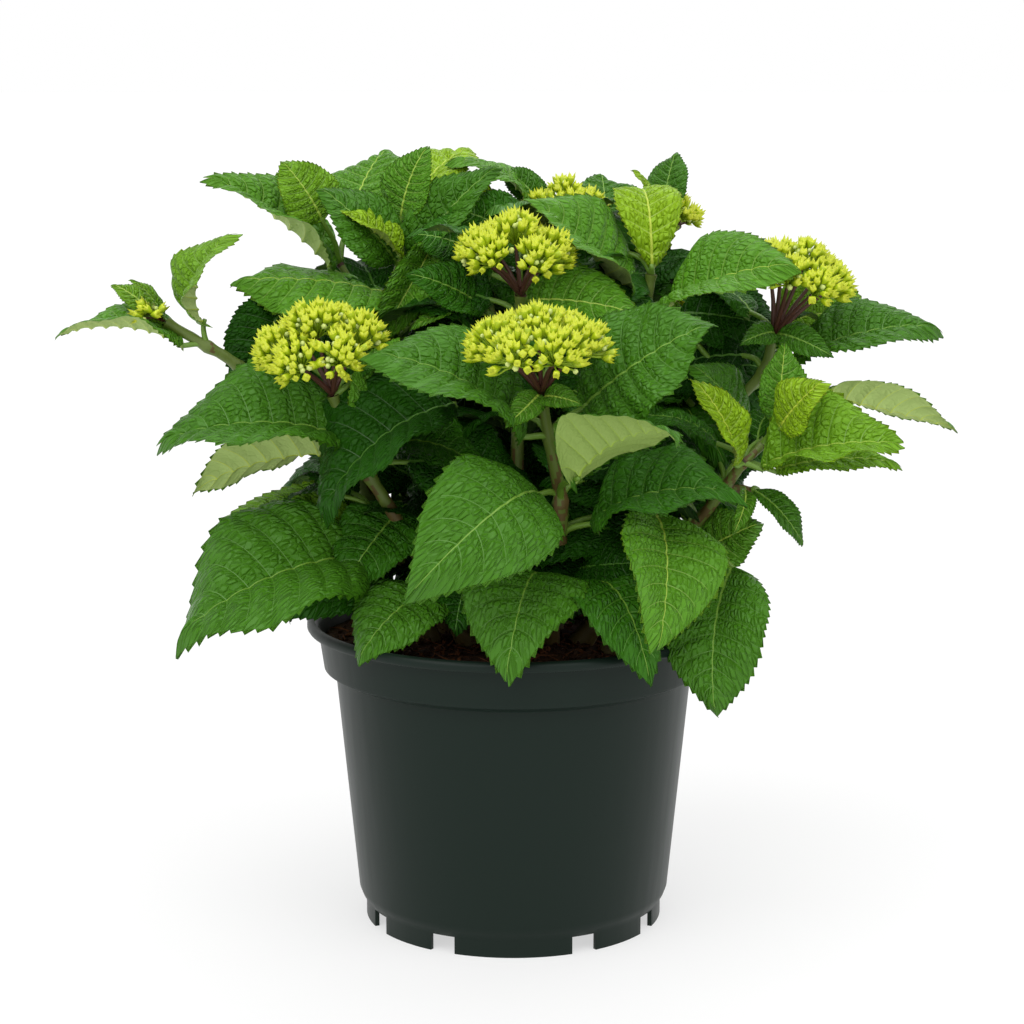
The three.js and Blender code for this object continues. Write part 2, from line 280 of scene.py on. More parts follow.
def makePot():
    selectOnly()
    first = pot["outside"][0]
    bpy.ops.mesh.primitive_circle_add(vertices=pot["sides"], radius=first[0] * mm,
                                      location=(0, 0, first[1] * mm))
    piece = bpy.context.object
    piece.name = "nurseryPot"
    bpy.ops.object.transform_apply(location=True)
    bpy.ops.object.mode_set(mode="EDIT")
    bpy.ops.mesh.select_mode(type="EDGE")
    bpy.ops.mesh.select_all(action="SELECT")
    last = first
    for radius, height in pot["outside"][1:] + pot["inside"]:
        last = extrudeRing(radius, height, last)
    bpy.ops.mesh.fill()  # the floor of the pot, inside
    # the underside: rings inwards from the outer wall, for the feet and the drains
    bpy.ops.mesh.select_all(action="DESELECT")
    bpy.ops.object.mode_set(mode="OBJECT")
    for edge in piece.data.edges:
        ends = [piece.data.vertices[i].co for i in edge.vertices]
        edge.select = all(abs(end.z - first[1] * mm) < level and abs(end.xy.length / mm - first[0]) < 0.5
                          for end in ends)
    bpy.ops.object.mode_set(mode="EDIT")
    last = first
    for radius in (pot["footRing"], *reversed(pot["drain"])):
        last = extrudeRing(radius, first[1], last)
    bpy.ops.mesh.fill()
    bpy.ops.mesh.select_mode(type="FACE")
    bpy.ops.mesh.select_all(action="SELECT")
    bpy.ops.mesh.normals_make_consistent(inside=False)

    def angleOf(polygon):
        return math.degrees(math.atan2(polygon.center.y, polygon.center.x)) % 360

    def inRing(polygon, inner, outer):
        radius = polygon.center.xy.length / mm
        return abs(polygon.center.z - first[1] * mm) < level and inner < radius < outer

    chooseFaces(piece, lambda face: inRing(face, pot["footRing"], first[0]) and footOrGap(angleOf(face)))
    bpy.ops.mesh.extrude_region_move(TRANSFORM_OT_translate={"value": (0, 0, -first[1] * mm)})
    # drains: sunk pockets behind each gap in the foot
    chooseFaces(piece, lambda face: inRing(face, *pot["drain"]) and not footOrGap(angleOf(face)))
    bpy.ops.mesh.extrude_region_move(TRANSFORM_OT_translate={"value": (0, 0, pot["drainDepth"] * mm)})
    bpy.ops.object.mode_set(mode="OBJECT")
    bevel = piece.modifiers.new("edges", "BEVEL")
    bevel.width = pot["rounding"] * mm
    bevel.segments = 2
    bevel.limit_method = "ANGLE"
    bevel.angle_limit = math.radians(50)
    bpy.ops.object.modifier_apply(modifier="edges")
    bpy.ops.object.shade_smooth_by_angle(angle=math.radians(35))
    piece.data.materials.append(potPlastic)
    return piece


potPiece = makePot()
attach(potPiece, "root")
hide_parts("pot")
print("the pot is moulded:", len(potPiece.data.polygons), "faces")


# the compost is a filled disc with an uneven top, with crumbs and bark fibres on it; sizes in mm
compost = {
    "radius": 110.5,
    "edge": 164.5,
    "middle": 167.5,
    "unevenness": 5,
    "crumbs": 900,
    "crumbSize": (0.8, 3.0),
    "fibres": 420,
    "fibreLength": (5, 16),
    "fibreWidth": (0.35, 0.8),
}


def compostHeight(x, y):
    radius = math.hypot(x, y) / (compost["radius"] * mm)
    swell = noise.noise(Vector((x * 28, y * 28, 3))) + 0.5 * noise.noise(Vector((x * 90, y * 90, 8)))
    height = compost["middle"] + (compost["edge"] - compost["middle"]) * radius ** 2
    return (height + compost["unevenness"] * swell * (1 - 0.6 * radius)) * mm


def makeCompost():
    selectOnly()
    bpy.ops.mesh.primitive_circle_add(vertices=72, radius=compost["radius"] * mm, fill_type="TRIFAN",
                                      location=(0, 0, compost["edge"] * mm))
    piece = bpy.context.object
    piece.name = "compostBed"
    bpy.ops.object.transform_apply(location=True)
    bpy.ops.object.mode_set(mode="EDIT")
    bpy.ops.mesh.select_all(action="SELECT")
    bpy.ops.mesh.subdivide(number_cuts=11)
    bpy.ops.object.mode_set(mode="OBJECT")
    for vertex in piece.data.vertices:
        vertex.co.z = compostHeight(vertex.co.x, vertex.co.y)
    bpy.ops.object.shade_smooth()
    piece.data.materials.append(peatBed)
    return piece


def scatter(reach, rng):
    away, turn = compost["radius"] * mm * reach * math.sqrt(rng.random()), rng.uniform(0, 2 * math.pi)
    return away * math.cos(turn), away * math.sin(turn)


# crumbs are squashed eight-sided grains, and fibres are bent three-sided slivers
def makeCrumbs(rng):
    corner = np.array([(1, 0, 0), (-1, 0, 0), (0, 1, 0), (0, -1, 0), (0, 0, 1), (0, 0, -1)], dtype=float)
    sides = [(0, 2, 4), (2, 1, 4), (1, 3, 4), (3, 0, 4), (2, 0, 5), (1, 2, 5), (3, 1, 5), (0, 3, 5)]
    pile = newPile()
    for _ in range(compost["crumbs"]):
        x, y = scatter(0.96, rng)
        size = rng.uniform(*compost["crumbSize"]) * mm
        spin = Matrix.Rotation(rng.uniform(0, 6.3), 3,
                               Vector((rng.random(), rng.random(), rng.random() + 0.1)))
        stretch = np.array([rng.uniform(0.6, 1.5), rng.uniform(0.6, 1.2), rng.uniform(0.5, 0.9)])
        grain = (corner * stretch * size) @ np.array(spin) + (x, y, compostHeight(x, y) + 0.3 * size)
        addToPile(pile, grain, sides, [rng.choice((0, 0, 1))] * len(sides))
    sides = [[3 * k + a, 3 * k + (a + 1) % 3, 3 * k + 3 + (a + 1) % 3, 3 * k + 3 + a]
             for k in range(3) for a in range(3)] + [[2, 1, 0], [9, 10, 11]]
    for _ in range(compost["fibres"]):
        x, y = scatter(0.95, rng)
        way = heading(rng.uniform(0, 360), rng.uniform(-5, 30))
        across = np.cross(way, (0, 0, 1))
        length = rng.uniform(*compost["fibreLength"]) * mm
        width = rng.uniform(*compost["fibreWidth"]) * mm
        lift = np.array([x, y, compostHeight(x, y) + 0.6 * mm])
        bend = across * rng.uniform(-0.3, 0.3) * length
        sliver = []
        for share in (0, 0.35, 0.7, 1.0):
            middle = lift + way * length * share + bend * math.sin(math.pi * share)
            thick = width * (1 - 0.8 * share)
            sliver += [middle + across * thick, middle + (0, 0, thick), middle - across * thick]
        addToPile(pile, np.array(sliver), sides, [1] * len(sides))
    return pilePiece("compostCrumbs", pile, [peatBed, peatFibre], False)


compostPiece = makeCompost()
crumbPiece = makeCrumbs(random.Random(5))
for piece in (compostPiece, crumbPiece):
    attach(piece, "root")
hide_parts("compost")
print("the compost is in")


# where each shoot climbs, node by node, in mm from the middle of the pot's foot
shoots = {
    "front": [(20, -30, 166), (22, -50, 209), (25, -62, 233), (26, -74, 258), (19, -88, 296),
              (15, -100, 321)],
    "front_left": [(-6, -34, 166), (-18, -46, 194), (-28, -58, 224), (-34, -66, 250)],
    "front_low": [(4, -58, 166), (7, -66, 190), (8, -76, 206)],
    "left": [(-26, -20, 166), (-56, -36, 225), (-80, -50, 268), (-92, -60, 292), (-99, -66, 316)],
    "left_low": [(-48, -14, 166), (-58, -22, 196), (-68, -30, 222), (-80, -38, 244)],
    "left_long": [(-36, 10, 166), (-70, 2, 220), (-102, -8, 278), (-155, -20, 326), (-172, -25, 338),
                  (-195, -26, 352)],
    "upper_left": [(-16, 14, 166), (-44, 24, 260), (-68, 30, 320), (-74, 28, 348), (-66, 26, 376),
                   (-63, 32, 398)],
    "top": [(0, -10, 166), (2, -20, 260), (3, -26, 330), (3, -28, 352), (4, -34, 368)],
    "top_back": [(4, 22, 166), (14, 36, 260), (22, 52, 330), (26, 58, 370), (29, 60, 396)],
    "upper_right": [(22, 8, 166), (46, 20, 260), (66, 22, 326), (76, 10, 358), (79, 8, 376)],
    "right": [(42, -4, 166), (86, -4, 250), (126, -6, 302), (142, -10, 322), (147, -14, 342)],
    "right_mid": [(38, -24, 166), (66, -28, 204), (100, -36, 236), (118, -50, 262), (127, -58, 277)],
    "right_low": [(56, -42, 166), (68, -50, 194), (80, -56, 222), (80, -60, 244)],
    "back_left": [(-20, 36, 166), (-46, 54, 226), (-72, 74, 270), (-92, 84, 300), (-99, 91, 326)],
    "back_right": [(26, 30, 166), (52, 54, 226), (78, 76, 270), (98, 88, 306), (105, 94, 330)],
    "back": [(2, 44, 166), (4, 72, 222), (4, 98, 262), (6, 118, 304), (6, 126, 334)],
    "back_left_low": [(-46, 36, 166), (-62, 50, 194), (-80, 62, 222), (-88, 66, 246)],
    "back_right_low": [(50, 32, 166), (64, 46, 194), (82, 60, 222), (90, 64, 246)],
    "back_low": [(2, 66, 166), (2, 84, 192), (3, 98, 216), (4, 106, 238)],
}

# side boughs leave a shoot at one of its nodes
boughs = {
    "upper_left_out": ("upper_left", 3, [(-88, 28, 362), (-101, 32, 380)]),
    "right_twig": ("right_mid", 4, [(138, -52, 286), (147, -50, 297)]),
    "right_side": ("right_mid", 3, [(128, -46, 260), (137, -43, 259)]),
    "upper_right_back": ("upper_right", 2, [(80, 44, 370), (90, 58, 392), (98, 68, 400)]),
    "top_side": ("top", 2, [(-8, -14, 346), (-14, -12, 362)]),
}

cane = {
    "radius": (5.2, 2.7),  # at the compost and at the tip, mm
    "boughRadius": (2.6, 1.8),
    "flare": 0.4,  # share by which the foot is thicker
    "nodeSwell": 0.28,
    "nodeReach": 3.2,
    "nodeBand": 2.6,  # half height of the brown band round a node
    "woodyTo": 262,  # height up to which the skin is tan rather than green
    "relief": 0.35,
    "barkGrain": 6,
}
everyShoot = list(shoots) + list(boughs)


def climb(name):
    if name in boughs:
        parent, node, rest = boughs[name]
        return [shoots[parent][node]] + rest
    return shoots[name]


def smoothPath(points, pieces):
    points = [np.array(each, dtype=float) for each in points]
    ends = [2 * points[0] - points[1]] + points + [2 * points[-1] - points[-2]]
    path = []
    for k in range(1, len(ends) - 2):
        a, b, c, d = ends[k - 1:k + 3]
        for step in range(pieces):
            t = step / pieces
            path.append(0.5 * (2 * b + (c - a) * t + (2 * a - 5 * b + 4 * c - d) * t * t
                               + (3 * b - a - 3 * c + d) * t ** 3))
    return path + [points[-1]]


def makeCane(name):
    nodes = climb(name)
    path = smoothPath(nodes, 12)
    whole = name in shoots
    curve = bpy.data.curves.new(name, "CURVE")
    curve.dimensions = "3D"
    curve.bevel_depth = 1
    curve.bevel_resolution = 4
    curve.use_fill_caps = True
    line = curve.splines.new("POLY")
    line.points.add(len(path) - 1)
    run = np.cumsum([0] + [np.linalg.norm(b - a) for a, b in zip(path, path[1:])])
    for k, (spot, knot) in enumerate(zip(path, line.points)):
        share = run[k] / run[-1]
        first, last = cane["radius" if whole else "boughRadius"]
        radius = first + (last - first) * share
        if whole:
            radius *= 1 + cane["flare"] * math.exp(-(spot[2] - nodes[0][2]) / 10)
        nearest = min(np.linalg.norm(spot - node) for node in nodes[1:])
        radius *= 1 + cane["nodeSwell"] * math.exp(-(nearest / cane["nodeReach"]) ** 2)
        knot.co = (*(spot * mm), 1)
        knot.radius = radius * mm
    piece = bpy.data.objects.new("cane_" + name, curve)
    bpy.context.scene.collection.objects.link(piece)
    return piece


def joinPieces(pieces, name):
    selectOnly()
    for piece in pieces:
        piece.select_set(True)
    bpy.context.view_layer.objects.active = pieces[0]
    bpy.ops.object.join()
    pieces[0].name = name
    return pieces[0]


def makeCanes():
    pieces = [makeCane(name) for name in everyShoot]
    selectOnly()
    for piece in pieces:
        piece.select_set(True)
    bpy.context.view_layer.objects.active = pieces[0]
    bpy.ops.object.convert(target="MESH")
    canes = joinPieces(pieces, "canes")
    selectOnly(canes)
    bark = bpy.data.textures.new("bark", "CLOUDS")
    bark.noise_scale = cane["barkGrain"] * mm
    relief = canes.modifiers.new("relief", "DISPLACE")
    relief.texture = bark
    relief.texture_coords = "LOCAL"
    relief.strength = cane["relief"] * 2 * mm
    relief.mid_level = 0.5
    bpy.ops.object.modifier_apply(modifier="relief")
    bpy.ops.object.shade_smooth()
    for material in (shootTan, shootGreen, nodeBrown):
        canes.data.materials.append(material)
    rings = np.array([node for name in everyShoot for node in climb(name)[1:]]) * mm
    for polygon in canes.data.polygons:
        away = np.linalg.norm(rings - np.array(polygon.center), axis=1).min()
        streak = noise.noise(Vector((polygon.center.x * 420, polygon.center.y * 420, polygon.center.z * 26)))
        woody = polygon.center.z < cane["woodyTo"] * mm * (1 + 0.45 * streak)
        polygon.material_index = 2 if away < cane["nodeBand"] * mm else 0 if woody else 1
    return canes


canesPiece = makeCanes()
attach(canesPiece, "root")
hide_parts(*["stem_" + name for name in shoots])
print("the shoots are grown:", len(canesPiece.data.polygons), "faces")


# a leaf blade is two toothed halves with their side veins as narrow strips; sizes in mm
blade = {
    "veins": 8,
    "veinWidth": 0.55,  # mm at the midrib, thinning to a third at the edge
    "netting": 3.0,  # mm between the veinlets that cross from vein to vein
    "cells": 2.6,  # puckers from one side vein to the next
    "midribWidth": 2.0,
    "thickness": 0.5,
    "quilt": 2.5,  # how far the skin swells between two side veins, mm on a leaf of 100 mm
    "ridge": 0.5,  # how far a vein stands out below
    "midribRidge": 1.2,
    "tooth": 0.36,  # how far a tooth stands out, as a share of its own width
    "sweep": 1.5,  # how far forward the side veins lean
    "leastFold": 5,  # degrees, before the leaf's own fold is added
}

# half width of the leaf from its base to its drawn-out tip
outlineAt = [0, 0.02, 0.06, 0.13, 0.22, 0.33, 0.43, 0.54, 0.65, 0.75, 0.83, 0.89, 0.94, 0.97, 1.0]
outlineWide = [0.0, 0.22, 0.44, 0.68, 0.87, 0.98, 1.0, 0.96, 0.85, 0.67, 0.47, 0.31, 0.18, 0.1, 0.0]


# q runs along the edge from base to tip; each strip of skin ends in half a tooth or a whole one
def bladePattern(pitch, stripsPerTooth, columns):
    fine = np.linspace(0, 1, 400)
    wide = np.interp(fine, outlineAt, outlineWide)
    for _ in range(8):
        wide[1:-1] = (wide[:-2] + 2 * wide[1:-1] + wide[2:]) / 4
    along = np.concatenate([[0], np.cumsum(np.hypot(np.diff(fine), np.diff(wide * 0.33)))])
    rows, kinds, net, teeth, seats, last = [0.0], [], [0.0], [], [0.0], 0.0
    for i in range(blade["veins"] + 1):
        seat = ((i + 0.45) / (blade["veins"] + 0.6)) ** (1 / blade["sweep"]) if i < blade["veins"] else 1.0
        strips = stripsPerTooth * max(1, round((seat - last) / pitch))
        for k in range(strips):
            if k % stripsPerTooth == 0:
                teeth.append(len(kinds))
            rows.append(last + (seat - last) * (k + 1) / strips)
            net.append(blade["cells"] * (i + (k + 1) / strips))
            kinds.append("skin")
        if i < blade["veins"]:
            rows.append(seat)
            net.append(net[-1])
            kinds.append("vein")
        seats.append(seat)
        last = seat
    pattern = {"fine": fine, "wide": wide, "along": along / along[-1], "rows": np.array(rows), "kinds": kinds,
               "net": np.array(net), "teeth": teeth, "perTooth": stripsPerTooth, "seats": np.array(seats),
               "columns": np.array(columns)}
    pattern["faces"], pattern["roles"] = bladeFaces(pattern)
    return pattern


# vertices in order: top of both halves, underside of both halves, then the tips of the teeth
def bladeFaces(pattern):
    rows, columns = len(pattern["rows"]), len(pattern["columns"])
    count, teeth = rows * columns, pattern["teeth"]
    faces, roles = [], []

    def at(side, r, c, below=False):
        return side * count + r * columns + c + (2 * count if below and c < columns - 1 else 0)

    for side in (0, 1):
        flip = 1 if side else -1
        for r, kind in enumerate(pattern["kinds"]):
            for c in range(columns - 1):
                patch = [(r, c), (r + 1, c), (r + 1, c + 1), (r, c + 1)]
                faces.append([at(side, *corner) for corner in patch][::flip])
                faces.append([at(side, *corner, True) for corner in patch[:1] + patch[:0:-1]][::flip])
                roles += ["vein" if kind == "vein" and c < columns - 2 else "skin",
                          "underVein" if kind == "vein" else "under"]
        for n, start in enumerate(teeth):
            tip = 4 * count + side * len(teeth) + n
            for r in range(start, start + pattern["perTooth"]):
                a, b = at(side, r, columns - 1), at(side, r + 1, columns - 1)
                faces += [[a, b, tip][::flip], [b, a, tip][::flip]]
                roles += ["tooth", "tooth"]
    for r in range(rows - 1):  # the midrib joins the halves, above and below
        faces += [[at(0, r, 0), at(0, r + 1, 0), at(1, r + 1, 0), at(1, r, 0)],
                  [at(0, r, 0, True), at(1, r, 0, True), at(1, r + 1, 0, True), at(0, r + 1, 0, True)]]
        roles += ["midrib", "underVein"]
    return faces, roles


def flatHalf(pattern, length, width):
    rows, columns = pattern["rows"], pattern["columns"]
    foot = 0.96 * rows ** blade["sweep"] * length
    edgeAt = np.interp(rows, pattern["along"], pattern["fine"])
    edge = np.stack([edgeAt * length, np.interp(edgeAt, pattern["fine"], pattern["wide"]) * width / 2], 1)
    s = columns[None, :, None]
    start, end = np.stack([foot, 0 * foot], 1)[:, None, :], edge[:, None, :]
    elbow = start + (end - start) * np.array([0.28, 0.62])
    flat = (1 - s) ** 2 * start + 2 * s * (1 - s) * elbow + s ** 2 * end
    for k, kind in enumerate(pattern["kinds"]):  # a vein's two rows part by its width
        if kind == "vein":
            thin = blade["veinWidth"] * mm * (1 - 0.66 * columns) / 2
            gap = flat[k + 2] - flat[k - 1]
            apart = gap / (np.linalg.norm(gap, axis=1, keepdims=True) + 1e-9) * thin[:, None]
            flat[k], flat[k + 1] = flat[k] - apart, flat[k + 1] + apart
    return flat


def shapeBlade(pattern, leaf, rng):
    length, width, kinds, seats = leaf["length"], leaf["width"], pattern["kinds"], pattern["seats"]
    flat = flatHalf(pattern, length, width)
    rows, columns = flat.shape[:2]
    s = np.broadcast_to(pattern["columns"][None, :], (rows, columns))
    swell = np.zeros(rows)
    for r, q in enumerate(pattern["rows"]):
        k = min(np.searchsorted(seats, q, side="right") - 1, len(seats) - 2)
        swell[r] = max(0.0, math.sin(math.pi * (q - seats[k]) / (seats[k + 1] - seats[k]))) ** 0.6
    swell = swell[:, None] * np.sin(np.pi * np.clip(0.12 + 0.8 * s, 0, 1)) ** 0.7
    swell = swell * blade["quilt"] * mm * length / 0.1
    midrib = blade["midribWidth"] * mm / 2 * (1 - 0.8 * pattern["rows"] ** 0.8)[:, None]
    midrib = midrib * (1 - s) ** 3
    ridge = np.zeros(rows)
    for r, kind in enumerate(kinds):
        if kind == "vein":
            ridge[r:r + 2] = 1
    wavePhase, waveCount = rng.uniform(0, 6.3), rng.uniform(1.6, 2.8)
    sheets = []
    for side in (-1, 1):
        x, y = flat[..., 0], flat[..., 1] + midrib
        along = x / length
        tilt = math.radians(leaf["fold"] + blade["leastFold"] + rng.uniform(-4, 4)) * (1 - 0.35 * along)
        beat = wavePhase + 1.4 * side + waveCount * 2 * np.pi * along
        ripple = leaf["wave"] * width * np.sin(beat) * s ** 2
        curl = leaf["curl"] * width * s ** 2.4 * -0.35
        out, up = y * np.cos(tilt), y * np.sin(tilt) + swell + ripple + curl
        arch = leaf["droop"] * length * 4 * along * (1 - along) * (1.25 - 0.5 * along)
        dip = leaf["hook"] * length * np.clip(along - 0.7, 0, 1) ** 2 * 4
        bow = leaf["sickle"] * length * 4 * along * (1 - along)
        twist = math.radians(leaf["twist"]) * (along - 0.4)
        over = side * out
        top = np.stack([x, over * np.cos(twist) - up * np.sin(twist) + bow,
                        over * np.sin(twist) + up * np.cos(twist) + arch - dip], -1)
        drop = blade["thickness"] * mm * (1 - s ** 4) + blade["ridge"] * mm * ridge[:, None] * (1 - s)
        drop = drop + blade["midribRidge"] * mm * (s == 0) * (1 - 0.7 * along)
        low = top - drop[..., None] * np.array([0, 0, 1])
        edge, tips = top[:, -1], []
        for n, k in enumerate(pattern["teeth"]):
            a, b = edge[k], edge[k + pattern["perTooth"]]
            way, inward = b - a, top[k, -2] - a
            outward = unit(way * np.dot(inward, way) / (np.dot(way, way) + 1e-12) - inward)
            fade = 0.3 if n < 1 or k > rows - 4 else 1.0
            reach = np.linalg.norm(way) * blade["tooth"] * fade * rng.uniform(0.8, 1.2)
            tips.append(a + way * 0.84 + outward * reach)
        net = np.stack([pattern["net"][:, None] + 0 * s, y / mm / blade["netting"]], -1)
        net = net + (0, 40 * (side > 0))  # the two halves read different parts of the pattern
        sheets.append((top, low, np.array(tips), net, net[pattern["teeth"], -1]))
    left, right = sheets
    points = np.vstack([part[k].reshape(-1, 3) for k in (0, 1) for part in sheets] + [left[2], right[2]])
    nets = np.vstack([part[3].reshape(-1, 2) for part in sheets] * 2 + [left[4], right[4]])
    return points, nets


def placeBlade(points, leaf):
    way = heading(leaf["turn"], leaf["rise"])
    up = np.array([0, 0, 1.0]) - way[2] * way
    if np.linalg.norm(up) < 0.05:
        up = -heading(leaf["turn"], 0)
    up = unit(up)
    side = np.cross(way, up)
    if np.dot(side, (0.2, -1, 0)) < 0:
        side = -side
    roll = math.radians(leaf["roll"])
    face = unit(up * math.cos(roll) + side * math.sin(roll))
    return points @ np.array([way, np.cross(face, way), face]) + leaf["seat"]


fineBlade = bladePattern(0.042, 2, [0, 0.12, 0.28, 0.46, 0.64, 0.82, 1.0])
plainBlade = bladePattern(0.06, 1, [0, 0.25, 0.55, 0.8, 1.0])


def layBlade(pile, leaf, rng, fine):
    pattern = fineBlade if fine else plainBlade
    points, nets = shapeBlade(pattern, leaf, rng)
    # the leaf's tone picks its skin, underside, tooth and vein colours together, so a leaf given a low tone
    # is painted in shade on every face
    tone = leaf["tone"]
    vein = tone // 2
    slotOf = {"skin": tone, "under": underSlot + tone, "tooth": min(tone + 1, len(leafTones) - 1),
              "vein": veinSlot + vein, "midrib": veinSlot + vein + 1,
              "underVein": veinSlot + min(vein + 2, len(veinTones) - 1)}
    addToPile(pile, placeBlade(points, leaf), pattern["faces"], [slotOf[role] for role in pattern["roles"]],
              nets + rng.uniform(0, 50))


# leaves that are placed one by one, shoot by shoot
# seat of the blade in mm, turn, rise, length, width as a share of length, roll, droop, fold, tone
placedLeaves = {
    "left_long": [
        ((-174, -27, 350), -25, 72, 56, 0.90, 45, 0.14, 38, 5),
        ((-185, -28, 339), -178, 6, 72, 0.60, 5, 0.08, 35, 4),
        ((-196, -25, 353), -148, 52, 31, 0.50, 40, 0.05, 20, 5),
        ((-197, -25, 352), 162, 34, 38, 0.45, 40, 0.05, 20, 5),
    ],
    "upper_left": [
        ((-64, 50, 402), 62, 28, 92, 0.66, 0, 0.06, 20, 6),
        ((-65, 30, 405), -21, 70, 46, 0.72, 80, 0.05, 15, 4),
        ((-68, 20, 382), -159, 45, 62, 0.68, 68, 0.08, 12, 3),
        ((-64, 15, 384), -156, 39, 48, 0.60, 40, 0.05, 45, 6),
        ((-59, 25, 378), -6, 50, 78, 0.55, 60, 0.06, 40, 3),
        ((-67, 15, 362), -171, 7, 96, 0.62, 22, 0.05, -13, 4),
        ((-68, 15, 344), -176, 9, 77, 0.62, 60, 0.06, 12, 1),
        ((-45, 10, 395), -143, -54, 72, 0.50, 60, 0.08, 50, 4),
    ],
    "upper_left_out": [
        ((-128, 5, 362), -154, -56, 62, 0.70, 60, 0.08, 15, 1),
        ((-104, 25, 376), -172, 39, 92, 0.66, 21, 0.03, 38, 4),
        ((-110, 22, 405), -170, 57, 42, 0.88, 70, 0.04, 15, 5),
        ((-95, 50, 404), 65, 42, 64, 0.85, 0, 0.05, 12, 4),
    ],
    "left": [
        ((-66, -36, 328), 180, -2, 72, 0.80, 60, 0.08, 12, 1),
        ((-86, -62, 295), 40, 58, 60, 0.60, 70, 0.06, 20, 4),
        ((-90, -60, 290), 180, 0, 108, 0.72, 30, 0.10, 33, 3),
        ((-94, -50, 280), 177, -12, 88, 0.56, -42, 0.05, 30, 4),
        ((-94, -45, 292), -153, 37, 44, 0.80, 60, 0.05, 12, 1),
        ((-32, -60, 310), -165, -37, 98, 0.84, 30, 0.10, 34, 1),
    ],
    "left_low": [
        ((-81, -40, 219), -155, -16, 122, 0.82, 36, 0.10, 33, 3),
        ((-80, -20, 219), -173, 14, 92, 0.72, 50, 0.08, 20, 5),
        ((-61, -30, 248), -135, -39, 64, 0.75, 30, 0.08, 12, 2),
        ((-70, -30, 212), -143, -12, 72, 0.70, 45, 0.08, 15, 1),
    ],
    "front_left": [
        ((-43, -50, 202), -133, -23, 67, 0.78, 20, 0.10, 12, 3),
        ((-24, -45, 211), -102, -32, 46, 0.85, 10, 0.08, 12, 1),
    ],
    "front": [
        ((6, -95, 297), -170, 30, 98, 0.78, 30, 0.10, 33, 3),
        ((37, -93, 312), -24, 35, 88, 0.80, 60, 0.03, 8, 3),
        ((33, -108, 276), -50, 25, 86, 0.76, -17, 0.08, 24, 3),
        ((14, -85, 264), -137, -24, 102, 0.69, 48, 0.22, 6, 3),
        ((43, -75, 246), -25, 16, 90, 0.80, 30, 0.08, 33, 2),
        ((15, -60, 214), -105, -29, 85, 0.80, 5, 0.18, 8, 3),
        ((35, -60, 217), -36, 12, 46, 0.80, 50, 0.06, 12, 1),
        ((36, -60, 207), -57, -29, 80, 0.72, 10, 0.24, 8, 2),
        ((9, -55, 222), -143, 7, 42, 0.75, 50, 0.06, 12, 1),
        ((14, -100, 321), -123, -22, 34, 0.50, 40, 0.08, 20, 4),
        ((16, -100, 319), -54, 1, 32, 0.50, 50, 0.08, 20, 4),
    ],
    "right_low": [
        ((78, -70, 250), -90, -48, 84, 0.80, 25, 0.12, 22, 4),
        ((122, -62, 219), -108, -62, 84, 0.76, -6, 0.10, 12, 3),
        ((100, -40, 219), -19, 31, 46, 0.85, 60, 0.05, 12, 4),
    ],
    "top": [
        ((3, -20, 362), -17, -3, 72, 0.66, 55, 0.10, 20, 4),
        ((10, 20, 392), -170, 25, 52, 0.76, 70, 0.05, 12, 2),
        ((-20, 10, 387), -158, 19, 40, 0.95, 60, 0.05, 12, 2),
    ],
    "top_side": [
        ((-16, -15, 358), -154, 26, 52, 0.60, 60, 0.06, 15, 2),
        ((-15, -15, 356), -155, -7, 48, 0.40, 20, 0.06, 35, 4),
    ],
    "top_back": [
        ((57, 60, 390), 95, 44, 58, 0.85, 0, 0.06, 12, 3),
        ((19, 70, 410), 168, 43, 36, 0.60, 60, 0.05, 20, 3),
        ((-8, 60, 410), -159, 25, 40, 0.55, 50, 0.05, 25, 6),
    ],
    "upper_right": [
        ((66, 0, 359), -160, 47, 88, 0.84, 31, 0.03, 32, 4),
        ((79, 5, 381), 96, 35, 68, 0.60, 0, 0.26, 22, 6),
        ((86, -10, 357), -33, 21, 86, 0.84, 34, 0.06, 33, 4),
    ],
    "upper_right_back": [
        ((88, 60, 405), 58, 68, 42, 0.70, 0, 0.05, 15, 3),
        ((83, 50, 407), 153, 66, 30, 0.70, 0, 0.05, 15, 6),
    ],
    "right": [
        ((150, 15, 346), 11, 8, 60, 0.90, 65, 0.05, 14, 5),
        ((160, 0, 326), 0, 15, 88, 0.60, 30, 0.08, 33, 3),
        ((178, 0, 308), 4, -14, 82, 0.44, -38, 0.00, 33, 4),
        ((148, -15, 344), -41, -13, 40, 0.50, 50, 0.10, 20, 3),
        ((148, -15, 344), -129, -3, 33, 0.50, 50, 0.10, 20, 3),
        ((92, 34, 318), 8, -4, 84, 0.76, 60, 0.08, 12, 1),
        ((96, 24, 352), -4, -8, 62, 0.76, 60, 0.08, 12, 1),
    ],
    "right_mid": [
        ((92, 22, 290), 12, -10, 84, 0.78, 60, 0.08, 12, 1),
        ((98, 8, 268), 6, 2, 46, 0.90, 60, 0.05, 12, 0),
        ((137, -60, 274), -15, 13, 80, 0.78, 36, 0.08, 32, 5),
        ((146, -50, 271), -8, 6, 70, 0.40, 30, 0.05, 20, 5),
        ((123, -62, 276), -161, 63, 56, 0.55, 60, 0.08, 38, 6),
        ((132, -10, 288), -144, 47, 56, 0.80, 60, 0.08, 12, 3),
    ],
    "right_twig": [
        ((147, -50, 297), 60, 80, 46, 0.66, 40, 0.04, 20, 4),
        ((147, -62, 297), -45, 46, 40, 0.90, 75, 0.05, 18, 6),
    ],
    "right_side": [
        ((134, -48, 260), -12, -46, 42, 0.46, 50, 0.14, 38, 3),
        ((129, -50, 260), -107, -35, 34, 0.40, 30, 0.10, 45, 4),
    ],
}

